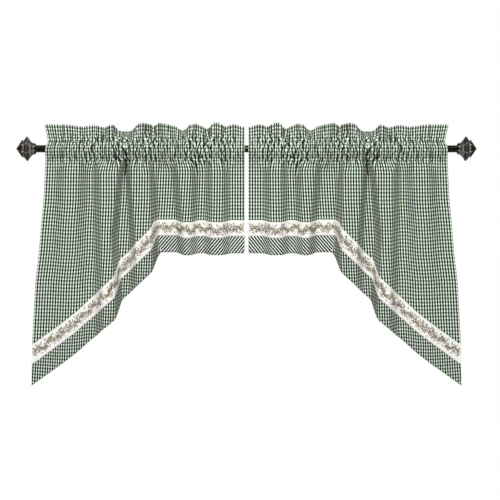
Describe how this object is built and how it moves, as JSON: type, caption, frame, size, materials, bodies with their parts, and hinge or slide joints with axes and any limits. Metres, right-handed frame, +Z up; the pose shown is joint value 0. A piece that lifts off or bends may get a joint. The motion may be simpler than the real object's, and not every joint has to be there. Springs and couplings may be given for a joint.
{
  "type": "swag and tail drape on a curtain rod",
  "caption": "Mirrored swag and tail curtain pair in dark green check with a cream vine band, gathered by rod pockets on a dark rod with faceted finials.",
  "frame": {"origin": "on the rod's axis at the middle of its length, between the two halves of the drape", "axes": "+Z up, +X along the rod, -Y towards the room, the side the cloth faces"},
  "size_m": [1.6196, 0.1031, 0.9223],
  "materials": {
    "check_cloth": "matte woven cotton in a small dark green, grey-green and white check",
    "bias_check_cloth": "the same check cut on the bias",
    "cream_band": "matte cream cotton with a small embroidered vine",
    "dark_bronze": "satin oil-rubbed bronze"
  },
  "bodies": {
    "root": {"rod": "dark_bronze", "finial_left": "dark_bronze", "finial_right": "dark_bronze", "panel_left": "check_cloth", "panel_right": "check_cloth", "band_left": "cream_band", "band_right": "cream_band", "border_left": "bias_check_cloth", "border_right": "bias_check_cloth"}
  },
  "joints": []
}
